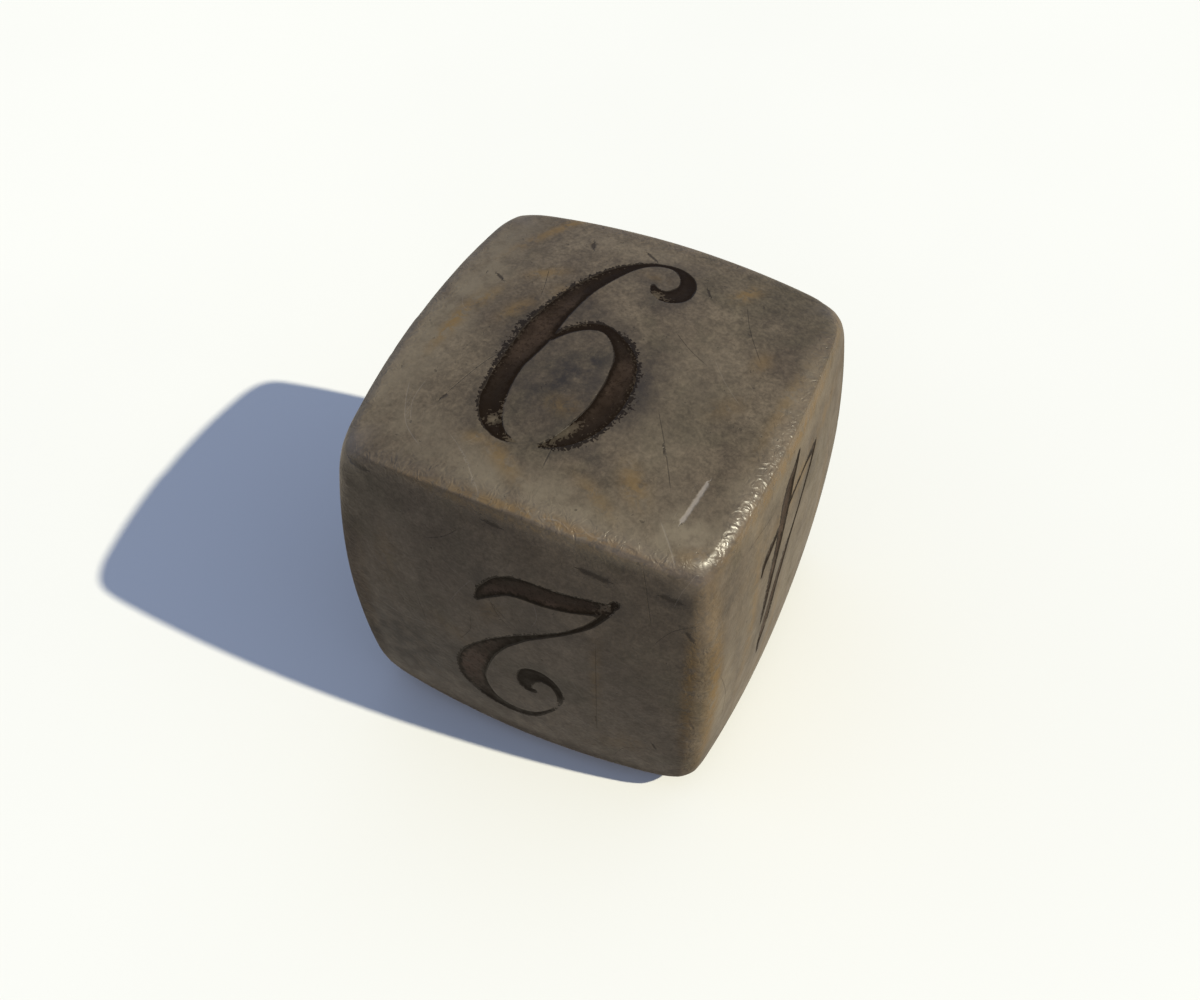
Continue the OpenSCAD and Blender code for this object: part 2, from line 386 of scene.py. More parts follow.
def worn(points):
    """The form with its waviness, its wear, its crease, and the dents and nicks along its edges."""
    dents = 0
    for depth, size, seed, low, high in DENTS:
        dents = dents + smoothstep(low, high, noise(points, size, seed)) * depth
    rim_wear = rim_amount(points) * (EDGE_WEAR + DENT_SHARE * dents)
    inward = unevenness(points, WAVES) + SURFACE_WEAR + rim_wear - crease_rise(points)
    return points - points / np.linalg.norm(points, axis=1)[:, None] * inward[:, None]


def face_of(points, node):
    """Which points lie on a numeral's face."""
    axis, sign = FACES[node]
    return np.flatnonzero((np.abs(points).argmax(1) == axis) & (points[:, axis] * sign > 0))


# ---- marks on the faces
# A mark is a list of points and a width in millimetres. A point is in shares of the half size, along the
# face's own two axes: x and y on the top and bottom, x and z on the front and back, y and z on the sides.

DARK_MARKS = {
    "numeral_six": [
        ([(-0.37, -0.1), (-0.46, -0.24), (-0.54, -0.48)], 0.045),
        ([(-0.535, -0.475), (-0.54, -0.49)], 0.24),
        ([(0.47, 0.6), (0.54, 0.45), (0.66, 0.27)], 0.05),
        ([(0.36, -0.2), (0.47, -0.38), (0.57, -0.56)], 0.05),
        ([(0.45, -0.36), (0.48, -0.41)], 0.11),
        ([(-0.47, 0.43), (-0.44, 0.33), (-0.42, 0.24)], 0.04),
        ([(0.03, -0.57), (0.035, -0.67)], 0.07),
        ([(-0.36, 0.7), (-0.352, 0.68)], 0.3),
        ([(-0.68, 0.31), (-0.65, 0.29)], 0.16),
        ([(-0.09, 0.74), (-0.04, 0.71)], 0.14),
        ([(0.27, 0.61), (0.29, 0.58)], 0.13),
        ([(0.12, 0.83), (0.2, 0.86), (0.3, 0.84)], 0.035),
    ],
    "numeral_two": [
        ([(-0.79, 0.826), (-0.72, 0.822)], 0.3),
        ([(-0.412, 0.571), (-0.317, 0.631), (-0.238, 0.721)], 0.05),
        ([(0.34, 0.74), (0.45, 0.72)], 0.34),
        ([(-0.1, 0.83), (-0.05, 0.825)], 0.24),
        ([(0.70, 0.72), (0.76, 0.71)], 0.34),
        ([(0.82, 0.52), (0.84, 0.49)], 0.26),
        ([(0.42, 0.3), (0.425, -0.1), (0.42, -0.5)], 0.06),
        ([(0.42, -0.35), (0.42, -0.4)], 0.14),
        ([(0.7, -0.47), (0.71, -0.5)], 0.14),
        ([(0.6, 0.86), (0.63, 0.7), (0.66, 0.52)], 0.05),
        ([(0.5, -0.72), (0.56, -0.6), (0.66, -0.54)], 0.04),
        ([(-0.2, 0.16), (-0.21, 0.03), (-0.28, -0.1)], 0.045),
        ([(-0.14, 0.42), (-0.05, 0.27), (0.1, 0.12)], 0.035),
        ([(0.12, -0.62), (0.18, -0.7)], 0.05),
        ([(-0.5, 0.15), (-0.46, -0.05)], 0.04),
    ],
    "numeral_four": [
        ([(-0.8, 0.1), (-0.72, -0.15), (-0.7, -0.4)], 0.05),
        ([(-0.55, 0.72), (-0.3, 0.69)], 0.05),
        ([(0.5, 0.4), (0.62, 0.1)], 0.04),
        ([(-0.35, -0.55), (-0.28, -0.75)], 0.05),
    ],
}
PALE_MARKS = {
    "numeral_six": [
        ([(0.695, -0.46), (0.685, -0.56), (0.67, -0.67)], 0.2),
        ([(0.59, -0.71), (0.66, -0.79), (0.73, -0.875)], 0.07),
        ([(0.73, -0.87), (0.79, -0.865), (0.86, -0.84)], 0.06),
        ([(-0.73, -0.45), (-0.69, -0.56), (-0.62, -0.68), (-0.5, -0.77)], 0.05),
        ([(-0.66, -0.42), (-0.66, -0.55), (-0.61, -0.66)], 0.04),
        ([(-0.35, -0.71), (-0.25, -0.8), (-0.15, -0.9)], 0.05),
        ([(-0.42, -0.66), (-0.28, -0.76), (-0.2, -0.87)], 0.035),
        ([(0.14, -0.9), (0.2, -0.885), (0.27, -0.9)], 0.07),
        ([(0.3, -0.87), (0.36, -0.89), (0.42, -0.88)], 0.06),
        ([(-0.1, 0.8), (0.03, 0.86), (0.2, 0.88)], 0.03),
    ],
    "numeral_two": [
        ([(0.15, -0.3), (0.3, -0.43), (0.47, -0.53)], 0.035),
        ([(0.3, -0.08), (0.36, -0.22)], 0.03),
        ([(-0.75, -0.1), (-0.6, -0.13), (-0.45, -0.1)], 0.03),
        ([(0.55, -0.2), (0.7, -0.3)], 0.03),
    ],
}
# For each kind: the faces' own marks, the seed, number and widths of the random ones that every face gets
# too, and how strongly thin marks show.
MARKS = {
    "dark": (DARK_MARKS, 40, 2, (0.03, 0.05), 0.55),
    "pale": (PALE_MARKS, 60, 3, (0.02, 0.035), 0.25),
}
# A face with no marks of its own gets this many times as many random ones.
BARE_FACE = 5
# Marks narrower than these are thin and tapered. TAPER is the share of a mark over which each end tapers.
THIN = 0.1
TAPERED = 0.12
TAPER = 0.15
# Straight steps between two of a mark's points.
LINE_STEPS = 8


def seed_for(seed, node):
    """A seed of a face's own, for one kind of mark or stain."""
    return seed + list(FACES).index(node)


def random_marks(seed, count, widths):
    """Short, nearly straight marks at random places of a face."""
    rng = np.random.default_rng(seed)
    marks = []
    for _ in range(count):
        start = rng.uniform(-0.75, 0.75, 2)
        turn = rng.uniform(0, 2 * math.pi)
        length = rng.uniform(0.06, 0.32)
        step = np.array([math.cos(turn), math.sin(turn)]) * length / 2
        bend = np.array([-step[1], step[0]]) * rng.uniform(-0.3, 0.3)
        line = [tuple(start), tuple(start + step + bend), tuple(start + 2 * step)]
        marks.append((line, rng.uniform(*widths)))
    return marks


def smooth_line(points):
    """Listed points joined by a smooth curve, in steps short enough to look curved."""
    points = np.array(points, float)
    padded = np.vstack([points[:1], points, points[-1:]])
    line = []
    for a, b, c, d in zip(padded, padded[1:], padded[2:], padded[3:]):
        for t in np.arange(LINE_STEPS) / LINE_STEPS:
            line.append(0.5 * (2 * b + (c - a) * t + (2 * a - 5 * b + 4 * c - d) * t ** 2
                               + (3 * b - a - 3 * c + d) * t ** 3))
    line.append(points[-1])
    return np.array(line)


def mark_attributes(flat, kind, node):
    """The place across the nearest mark, in half widths, and how strongly the mark shows there."""
    own, seed, count, widths, thin = MARKS[kind]
    extra = count if node in own else BARE_FACE * count
    marks = own.get(node, []) + random_marks(seed_for(seed, node), extra, widths)
    across = np.full(len(flat), NO_MARK)
    strength = np.zeros(len(flat))
    nearest = np.full(len(flat), REACH)
    for points, width in marks:
        line = smooth_line(points) * HALF
        low, high = line.min(0) - REACH, line.max(0) + REACH
        near = np.flatnonzero(((flat > low) & (flat < high)).all(1))
        if len(near) == 0:
            continue
        along = line[1:] - line[:-1]
        best, t, gap, size = nearest_on_segments(flat[near], line[:-1], along)
        side = np.sign(cross2(along[best], gap))
        place = (best + t) / len(along)
        closer = size < nearest[near]
        chosen = near[closer]
        nearest[chosen] = size[closer]
        across[chosen] = (side * size)[closer] / (width / 2)
        taper = smoothstep(0, TAPER, place) * smoothstep(0, TAPER, 1 - place) if width < TAPERED else 1.0
        beyond = 1 - smoothstep(0.05, 0.3, size - width / 2)
        strength[chosen] = (np.maximum(taper, 0.25) * beyond)[closer] * (thin if width < THIN else 1.0)
    return across, strength


# A soft stain is its centre, its radii along and across, its turn in degrees and its strength. Centre and
# radii are in shares of the half size, along the same axes as the marks.
AMBER = {
    "numeral_six": [
        (-0.72, -0.06, 0.17, 0.035, 84, 1.0), (-0.66, 0.12, 0.12, 0.03, 70, 0.7),
        (-0.47, 0.4, 0.09, 0.035, 30, 0.7), (-0.48, 0.12, 0.09, 0.04, 60, 0.7),
        (0.44, 0.68, 0.08, 0.04, 60, 0.8), (0.66, 0.28, 0.07, 0.04, 80, 0.5),
        (0.42, -0.6, 0.1, 0.05, -50, 0.7), (-0.15, -0.7, 0.13, 0.04, -35, 0.7),
        (-0.3, 0.32, 0.1, 0.05, 20, 0.5), (0.3, -0.72, 0.12, 0.035, -30, 0.5),
        (0.02, 0.58, 0.08, 0.03, 0, 0.4), (-0.55, 0.8, 0.3, 0.03, 62, 0.9),
        (0.78, -0.8, 0.09, 0.04, 35, 0.5), (-0.3, -0.64, 0.06, 0.03, 10, 0.6),
        (0.62, -0.05, 0.1, 0.05, 50, 0.3), (-0.03, -0.35, 0.07, 0.05, 0, 0.7),
        (0.84, 0.1, 0.3, 0.03, 88, 0.5), (0.15, -0.9, 0.6, 0.022, 1, 0.85),
    ],
    "numeral_two": [
        (-0.1, 0.885, 0.8, 0.018, -1, 0.4), (0.85, 0.1, 0.6, 0.03, 90, 0.9),
        (-0.65, 0.3, 0.2, 0.06, 85, 0.3), (-0.1, 0.25, 0.1, 0.06, 60, 0.35),
        (0.42, 0.0, 0.3, 0.025, 90, 0.5), (0.55, -0.55, 0.15, 0.08, 40, 0.4),
        (-0.3, -0.05, 0.12, 0.05, -30, 0.35), (-0.82, -0.2, 0.5, 0.04, 88, 0.25),
    ],
    "numeral_four": [
        (-0.84, 0.0, 0.7, 0.05, 90, 1.0), (-0.5, 0.2, 0.5, 0.04, 84, 0.7), (0.1, 0.6, 0.5, 0.05, 5, 0.8),
        (0.0, 0.85, 0.7, 0.04, 0, 1.0), (-0.2, -0.3, 0.4, 0.04, 80, 0.5), (0.5, -0.1, 0.4, 0.05, 85, 0.5),
    ],
}
# Where the bone is rubbed pale.
PALE = {
    "numeral_six": [
        (-0.78, 0.1, 0.16, 0.8, 0, 1.0), (-0.86, -0.5, 0.12, 0.35, 0, 0.9),
        (-0.5, -0.72, 0.35, 0.14, -15, 0.7), (0.05, -0.82, 0.75, 0.12, -3, 1.0),
        (0.45, 0.1, 0.18, 0.3, 10, 0.35), (0.7, -0.74, 0.22, 0.16, 0, 1.2), (-0.1, 0.75, 0.3, 0.08, 0, 0.3),
        (0.82, -0.5, 0.06, 0.3, -10, 0.6), (0.87, 0.25, 0.05, 0.4, 0, 0.9), (0.43, -0.35, 0.2, 0.2, 0, 0.4),
    ],
    "numeral_two": [
        (0.1, 0.2, 0.9, 0.6, 0, 0.3), (-0.6, 0.55, 0.2, 0.15, 0, 0.35), (0.9, -0.1, 0.05, 0.7, 0, 0.4),
    ],
    "numeral_four": [
        (0.0, 0.0, 0.9, 0.8, 0, 0.8), (-0.2, -0.7, 0.4, 0.2, 0, 1.0), (-0.76, -0.12, 0.15, 0.4, 0, 1.2),
        (0.0, 0.8, 0.8, 0.1, 0, 0.8),
    ],
}
# Dark smudges and dirt, and on the front and the right side a darkening along the bottom and at the lower
# left.
GREY = {
    "numeral_six": [
        (-0.005, -0.045, 0.09, 0.05, -55, 1.4), (-0.21, -0.29, 0.07, 0.05, -25, 1.1),
        (-0.08, -0.2, 0.32, 0.2, 60, 1.25), (0.24, -0.1, 0.11, 0.26, 0, 1.1),
        (-0.38, -0.1, 0.1, 0.4, -10, 0.45), (-0.15, 0.2, 0.14, 0.1, 60, 0.45),
        (0.2, -0.55, 0.12, 0.05, -30, 0.6), (0.12, 0.5, 0.16, 0.16, 0, 0.3),
        (0.72, 0.5, 0.15, 0.3, 20, 0.35), (0.55, 0.02, 0.2, 0.35, -10, 0.3),
    ],
    # The wide ones at the bottom and at the lower left make the front darker there.
    "numeral_two": [
        (0.72, 0.72, 0.14, 0.07, -15, 1.0), (0.4, 0.73, 0.1, 0.04, -5, 0.7), (-0.2, -0.9, 0.8, 0.12, 0, 0.9),
        (-0.88, -0.4, 0.12, 0.5, 0, 0.6), (-0.65, -0.45, 0.4, 0.4, 0, 1.4), (-0.1, 0.83, 0.08, 0.04, 0, 0.5),
        (-0.3, -0.62, 0.4, 0.14, -10, 0.6), (0.78, 0.62, 0.12, 0.16, 0, 0.5),
    ],
    # The ones at the bottom and at the lower left make the right side darker there.
    "numeral_four": [
        (-0.75, -0.75, 0.2, 0.1, 0, 0.5), (0.2, -0.9, 0.7, 0.1, 0, 0.6), (-0.75, 0.55, 0.1, 0.05, 0, 0.5),
    ],
}
# Where the pigment has come away.
GONE = {
    "numeral_six": [
        (-0.085, -0.607, 0.09, 0.04, 0, 1.5), (-0.27, -0.525, 0.045, 0.035, 0, 1.0),
        (-0.262, -0.46, 0.03, 0.1, 0, 0.65), (0.045, -0.48, 0.11, 0.03, 60, 1.0),
        (-0.005, -0.565, 0.04, 0.03, 0, 0.6), (0.07, 0.46, 0.05, 0.045, 0, 0.9),
        (0.12, 0.45, 0.05, 0.03, 0, 0.6),
    ],
    "numeral_two": [
        (0.45, 0.54, 0.055, 0.04, 25, 0.9), (-0.25, -0.53, 0.05, 0.07, -60, 0.75),
        (0.21, -0.39, 0.05, 0.07, 40, 0.75),
    ],
    "numeral_four": [
        (-0.3, -0.1, 0.1, 0.2, 0, 0.5),
    ],
}
# Where the pigment has faded to brown in its broad strokes.
FADED = {
    "numeral_six": [(-0.31, 0.05, 0.24, 0.07, 80, 0.5), (0.14, -0.12, 0.2, 0.07, 80, 0.45)],
    "numeral_two": [(0.13, 0.45, 0.27, 0.13, 23, 1.3), (-0.22, -0.2, 0.28, 0.14, 80, 1.2)],
    "numeral_four": [(0.0, 0.0, 1.5, 1.5, 0, 0.8)],
}
# Where a numeral's outer edges break up into dots, and how they do on the faces that aren't listed.
DOTTED = {
    "numeral_six": [
        (-0.33, 0.1, 0.5, 0.2, 78, 1.6), (0.2, -0.05, 0.3, 0.16, 95, 1.6), (0.14, -0.42, 0.2, 0.1, 60, 0.9),
    ],
    "numeral_two": [(0.0, 0.0, 1.5, 1.5, 0, 0.35)],
}
DOTTED_ELSEWHERE = [(0.0, 0.0, 1.5, 1.5, 0, 0.4)]
# For each kind: the faces' own stains, and the seed and number of the random ones that the other faces get.
STAINS = {
    "amber": (AMBER, 80, 14),
    "grey": (GREY, 90, 9),
    "worn": (PALE, 100, 9),
    "gone": (GONE, 110, 6),
    "faded": (FADED, 120, 3),
}
BODY_STAINS = ("amber", "grey", "gone", "worn")
# How much amber the rims have, apart from those on the floor.
RIM_AMBER = 0.12


def random_stains(seed, count):
    """Stains at random places of a face."""
    rng = np.random.default_rng(seed)
    stains = []
    for _ in range(count):
        x, y = rng.uniform(-0.8, 0.8, 2)
        long_r = rng.uniform(0.08, 0.3)
        short_r = rng.uniform(0.03, 0.09)
        turn = rng.uniform(0, 180)
        stains.append((x, y, long_r, short_r, turn, rng.uniform(0.3, 0.9)))
    return stains


def face_stains(kind, node):
    """A face's stains of one kind."""
    own, seed, count = STAINS[kind]
    return own.get(node) or random_stains(seed_for(seed, node), count)


def stain_amount(flat, stains):
    """How strongly soft stains show at points of a face, from 0 up."""
    total = np.zeros(len(flat))
    for x, y, long_r, short_r, turn, strength in stains:
        rel = flat / HALF - np.array([x, y])
        c, s = math.cos(math.radians(turn)), math.sin(math.radians(turn))
        a = (rel[:, 0] * c + rel[:, 1] * s) / long_r
        b = (rel[:, 1] * c - rel[:, 0] * s) / short_r
        total = np.maximum(total, strength * np.exp(-(a * a + b * b)))
    return total


def outer_side(node, flat, outward):
    """From -1 on a stroke's inner side to 1 on its outer side, and less where its edge isn't dotted."""
    middle = (OUTLINES[node][0].min(0) + OUTLINES[node][0].max(0)) / 2
    away = (flat - middle) / np.maximum(np.linalg.norm(flat - middle, axis=1), 1e-6)[:, None]
    return (outward * away).sum(1) * np.minimum(stain_amount(flat, DOTTED.get(node, DOTTED_ELSEWHERE)), 1)


# ---- meshes

def add_mesh(name, points, faces, attributes):
    """A smooth mesh object from points in millimetres about the die's centre, with its vertex attributes."""
    mesh = bpy.data.meshes.new(name)
    mesh.vertices.add(len(points))
    mesh.vertices.foreach_set("co", (points * MM + np.array(CENTRE)).astype(np.float32).ravel())
    mesh.loops.add(faces.size)
    mesh.loops.foreach_set("vertex_index", faces.astype(np.int32).ravel())
    mesh.polygons.add(len(faces))
    mesh.polygons.foreach_set("loop_start", np.arange(0, faces.size, faces.shape[1], dtype=np.int32))
    mesh.update(calc_edges=True)
    mesh.validate()
    mesh.shade_smooth()
    for key, values in attributes.items():
        layer = mesh.attributes.new(key, "FLOAT", "POINT")
        layer.data.foreach_set("value", values.astype(np.float32))
    obj = bpy.data.objects.new(name, mesh)
    bpy.context.scene.collection.objects.link(obj)
    return obj


def engrave(points, form, here, node):
    """Cuts a numeral's groove into its face, and gives the distance from its outline and the way out."""
    axis, sign = FACES[node]
    plane = plane_axes(axis)
    distance, outward = outline_distance(node, form[here][:, plane])
    close = np.abs(distance) < SNAP * SIZE / CELLS
    points[np.ix_(here[close], plane)] -= outward[close] * distance[close][:, None]
    distance[close] = 0
    depth = GROOVE * (1 - smoothstep(-GROOVE_SLOPE, 0.0, distance + unevenness(form[here], RAGGED)))
    points[here, axis] -= sign * depth
    return distance, outward


def whole_attributes(form):
    """The body's vertex attributes: its edges' and corners', and empty ones for what lies on its faces."""
    attributes = {name: np.zeros(len(form)) for name in ("outer", *MARKS, *BODY_STAINS)}
    attributes["ink"] = np.full(len(form), FAR)
    for kind in MARKS:
        attributes[kind + "_across"] = np.full(len(form), NO_MARK)
    attributes["rim"] = rim_amount(form)
    attributes["corner"] = corner_amount(form)
    upper = smoothstep(0.3, 0.7, form[:, 2] / HALF)
    polish = smoothstep(0.35, 1.0, attributes["rim"]) * (0.3 + 0.7 * near_shared_corner(form))
    attributes["polish"] = np.maximum(polish, attributes["corner"]) * upper
    attributes["dull"] = attributes["rim"] * (1 - upper)
    return attributes


def bone_body():
    """The body: its worn form, its engraved grooves, and the marks and stains its material draws."""
    directions, faces = cube_grid(CELLS)
    form = onto_crease(surface_points(directions))
    points = worn(form)
    attributes = whole_attributes(form)
    for node, (axis, _) in FACES.items():
        here = face_of(form, node)
        flat = form[here][:, plane_axes(axis)]
        distance, outward = engrave(points, form, here, node)
        attributes["ink"][here] = distance
        attributes["outer"][here] = outer_side(node, flat, outward)
        for kind in MARKS:
            attributes[kind + "_across"][here], attributes[kind][here] = mark_attributes(flat, kind, node)
        for kind in BODY_STAINS:
            attributes[kind][here] = stain_amount(flat, face_stains(kind, node))
        off_floor = smoothstep(-0.7, -0.3, form[here, 2] / HALF)
        attributes["amber"][here] += RIM_AMBER * off_floor * smoothstep(0.6, 1.0, attributes["rim"][here])
    return add_mesh("bone_body", points, faces, attributes)


def crown_height(flat):
    """The crowned face's height above the die's centre."""
    return np.minimum(HALF, np.sqrt(CROWN_R ** 2 - (flat ** 2).sum(1)) - OFFSET)


def groove_grid(node):
    """Points on a face over its numeral's groove, their distance from its outline, the way out, and quads."""
    starts = OUTLINES[node][0]
    low, high = starts.min(0) - PIGMENT_MARGIN, starts.max(0) + PIGMENT_MARGIN
    columns, rows = [np.arange(low[k], high[k], PIGMENT_CELL) for k in (0, 1)]
    a, b = np.meshgrid(columns, rows, indexing="ij")
    flat = np.stack([a.ravel(), b.ravel()], 1)
    distance, outward = outline_distance(node, flat)
    # The outermost points are drawn in to just past the outline.
    drawn = np.maximum(distance - PIGMENT_TUCK, 0) * (distance < 2 * PIGMENT_CELL)
    flat = flat - outward * drawn[:, None]
    loops = quad_corners(np.arange(a.size).reshape(a.shape))
    inside = quad_corners(distance.reshape(a.shape)).min(0) < PIGMENT_TUCK
    used, cells = np.unique(loops[:, inside].T, return_inverse=True)
    return flat[used], distance[used], outward[used], cells.reshape(-1, 4)


def closed_sheet(top, bottom, cells, flip):
    """A closed solid between two matching sheets of quads, joined round their borders."""
    if flip:
        cells = cells[:, ::-1]
    edges = np.concatenate([cells[:, [k, (k + 1) % 4]] for k in range(4)])
    keys = {tuple(edge) for edge in edges.tolist()}
    border = np.array([edge for edge in edges.tolist() if (edge[1], edge[0]) not in keys])
    shift = len(top)
    sides = np.stack([border[:, 1], border[:, 0], border[:, 0] + shift, border[:, 1] + shift], 1)
    faces = np.concatenate([cells, cells[:, ::-1] + shift, sides])
    return np.concatenate([top, bottom]), faces


def pigment_fill(node):
    """The pigment in a numeral's groove: a closed thin solid whose top sinks a little towards its middle."""
    axis, sign = FACES[node]
    flat, distance, outward, cells = groove_grid(node)
    space = np.zeros((len(flat), 3))
    space[:, plane_axes(axis)] = flat
    sunk = PIGMENT_TOP + PIGMENT_SAG * smoothstep(0.05, 0.6, -distance)
    height = crown_height(flat) - SURFACE_WEAR
    top, bottom = space.copy(), space.copy()
    top[:, axis] = sign * (height - sunk - unevenness(space, PIGMENT_GRAIN))
    bottom[:, axis] = sign * (height - PIGMENT_BOTTOM)
    points, faces = closed_sheet(top, bottom, cells, flip=(sign > 0) == (axis == 1))
    attributes = {
        "ink": distance,
        "outer": outer_side(node, flat, outward),
        "gone": stain_amount(flat, face_stains("gone", node)),
        "faded": np.minimum(stain_amount(flat, face_stains("faded", node)), 1),
    }
    attributes = {key: np.concatenate([values] * 2) for key, values in attributes.items()}
    return add_mesh("pigment_" + node.split("_")[1], points, faces, attributes)


# ---- materials

# The Mix node's two colour inputs and its colour output, by their places in its lists.
MIX_A, MIX_B, MIX_RESULT = 6, 7, 2
PER_MM = 1 / MM


class Tree:
    """A material's node tree, with one short call for each kind of node. Its places are in millimetres."""

    def __init__(self, name):
        self.material = bpy.data.materials.new(name)
        self.material.use_nodes = True
        self.tree = self.material.node_tree
        self.tree.nodes.clear()
        output = self.node("ShaderNodeOutputMaterial")
        self.shader = self.node("ShaderNodeBsdfPrincipled")
        self.link(self.shader.outputs[0], output.inputs["Surface"])
        coordinates = self.node("ShaderNodeTexCoord")
        self.place = self.vector("MULTIPLY", coordinates.outputs["Object"], (PER_MM, PER_MM, PER_MM))

    def node(self, kind):
        return self.tree.nodes.new(kind)

    def link(self, source, target):
        self.tree.links.new(source, target)

    def put(self, socket, value):
        """Sets a socket to a number, a colour or another node's output."""
        if isinstance(value, bpy.types.NodeSocket):
            self.link(value, socket)
        else:
            socket.default_value = value

    def vector(self, operation, a, b):
        """A vector worked out from two others."""
        node = self.node("ShaderNodeVectorMath")
        node.operation = operation
        self.put(node.inputs[0], a)
        self.put(node.inputs[1], b)
        return node.outputs[0]

    def math(self, operation, a, b=0.0):
        """A number worked out from one or two others."""
        node = self.node("ShaderNodeMath")
        node.operation = operation
        self.put(node.inputs[0], a)
        self.put(node.inputs[1], b)
        return node.outputs[0]

    def noise(self, scale, detail=3.0, roughness=0.5, distortion=0.0, place=None):
        """Noise round 0.5, with about scale features a millimetre."""
        node = self.node("ShaderNodeTexNoise")
        self.link(place or self.place, node.inputs["Vector"])
        node.inputs["Scale"].default_value = scale
        node.inputs["Detail"].default_value = detail
        node.inputs["Roughness"].default_value = roughness
        node.inputs["Distortion"].default_value = distortion
        return node.outputs[0]

    def stretched(self, scale, turn):
        """The place, turned by some degrees and scaled along each axis, for grain that runs one way."""
        node = self.node("ShaderNodeMapping")
        self.link(self.place, node.inputs["Vector"])
        node.inputs["Rotation"].default_value = [math.radians(t) for t in turn]
        node.inputs["Scale"].default_value = scale
        return node.outputs[0]

    def band(self, value, low, high, start=0.0, end=1.0):
        """Runs smoothly from start to end as value goes from low to high."""
        node = self.node("ShaderNodeMapRange")
        node.interpolation_type = "SMOOTHSTEP"
        self.put(node.inputs["Value"], value)
        self.put(node.inputs["From Min"], low)
        self.put(node.inputs["From Max"], high)
        self.put(node.inputs["To Min"], start)
        self.put(node.inputs["To Max"], end)
        return node.outputs[0]

    def mix(self, amount, a, b, how="MIX"):
        """Colour a, with that amount of colour b laid over it."""
        node = self.node("ShaderNodeMix")
        node.data_type = "RGBA"
        node.blend_type = how
        self.put(node.inputs[0], amount)
        self.put(node.inputs[MIX_A], a)
        self.put(node.inputs[MIX_B], b)
        return node.outputs[MIX_RESULT]

    def attribute(self, name):
        """A vertex attribute's value."""
        node = self.node("ShaderNodeAttribute")
        node.attribute_name = name
        return node.outputs["Fac"]

    def bump(self, height, strength, distance):
        """Relief for the shader and its coat: the distance is a height of 1, in metres."""
        node = self.node("ShaderNodeBump")
        self.link(height, node.inputs["Height"])
        node.inputs["Strength"].default_value = strength
        node.inputs["Distance"].default_value = distance
        self.link(node.outputs[0], self.shader.inputs["Normal"])
        self.link(node.outputs[0], self.shader.inputs["Coat Normal"])


# Colours of the bone, its stains and marks, and the pigment, in linear light.
BONE_LIGHT = (0.128, 0.100, 0.069, 1)
BONE_MID = (0.086, 0.066, 0.045, 1)
BONE_DARK = (0.068, 0.051, 0.036, 1)
BONE_GREEN = (0.070, 0.058, 0.037, 1)
BONE_WORN = (0.170, 0.139, 0.098, 1)
AMBER_STAIN = (0.158, 0.100, 0.039, 1)
GREY_STAIN = (0.027, 0.0225, 0.020, 1)
DARK_LINE = (0.022, 0.016, 0.011, 1)
PALE_LINE = (0.34, 0.30, 0.27, 1)
INK = (0.0095, 0.0050, 0.0016, 1)
INK_BODY = (0.0145, 0.0092, 0.0054, 1)
INK_FADED = (0.100, 0.066, 0.046, 1)


def grey_of(t, value):
    """The grey whose three channels all have that value."""
    node = t.node("ShaderNodeCombineColor")
    for k in range(3):
        t.link(value, node.inputs[k])
    return node.outputs[0]


def bone_colour(t):
    """Clouded bone: soft patches, a fine felted mottle, grains and a few fine hairs."""
    clouds = t.noise(0.16, 4, 0.6, 0.6)
    colour = t.mix(t.band(clouds, 0.34, 0.66), BONE_DARK, BONE_LIGHT)
    colour = t.mix(t.band(t.noise(0.55, 5, 0.65, 0.4), 0.35, 0.65, 0, 0.6), colour, BONE_MID)
    greens = t.band(t.noise(0.22, 3, 0.5, 1.0, t.stretched((1, 1, 1), (20, 35, 10))), 0.5, 0.68, 0, 0.55)
    colour = t.mix(greens, colour, BONE_GREEN)
    felt = t.band(t.noise(2.4, 5, 0.7, 0.6), 0.3, 0.7, 0.74, 1.26)
    grain = t.band(t.noise(7.0, 2, 0.6), 0.3, 0.7, 0.84, 1.16)
    colour = t.mix(1.0, colour, grey_of(t, t.math("MULTIPLY", felt, grain)), "MULTIPLY")
    hairs = t.noise(2.2, 2, 0.5, 2.5, t.stretched((0.35, 3.5, 3.5), (12, 20, 38)))
    return t.mix(t.band(hairs, 0.66, 0.74, 0, 0.35), colour, BONE_DARK)


def mark_mask(t, name):
    """1 on a thin mark's line, with a soft fade at its sides."""
    across = t.math("ABSOLUTE", t.attribute(name + "_across"))
    ragged = t.math("ADD", across, t.band(t.noise(5.0, 2), 0.3, 0.7, -0.2, 0.2))
    line = t.band(ragged, 0.3, 1.4, 1.0, 0.0)
    return t.math("MULTIPLY", line, t.attribute(name))


def speckle(t, amount):
    """Fine dots: none where the amount is 0, nearly closed where it is 1."""
    dots = t.noise(7.5, 1, 0.5, 0.2)
    level = t.math("ADD", t.math("MULTIPLY", amount, -0.5), 0.78)
    return t.band(t.math("SUBTRACT", dots, level), -0.02, 0.03)


def ink_mask(t):
    """Where pigment stains the bone: solid in the groove, with dots that thin out beyond its outer sides."""
    distance = t.attribute("ink")
    outer = t.band(t.attribute("outer"), 0.0, 0.8)
    patches = t.band(t.noise(0.5, 2, 0.5), 0.4, 0.6, 0.45, 1.0)
    reach = t.math("ADD", t.math("MULTIPLY", t.math("MULTIPLY", outer, patches), 0.6), 0.05)
    amount = t.math("SUBTRACT", 1.0, t.math("DIVIDE", distance, reach))
    dots = speckle(t, t.math("MULTIPLY", t.band(amount, 0.0, 1.0), 0.8))
    solid = t.math("MULTIPLY", t.band(distance, 0.0, 0.04, 1.0, 0.0), t.math("SUBTRACT", 1.0, outer))
    inked = t.math("MAXIMUM", t.math("MAXIMUM", dots, solid), t.band(distance, -0.03, 0.0, 1.0, 0.0))
    return t.math("MULTIPLY", inked, t.math("SUBTRACT", 1.0, speckle(t, t.attribute("gone"))))


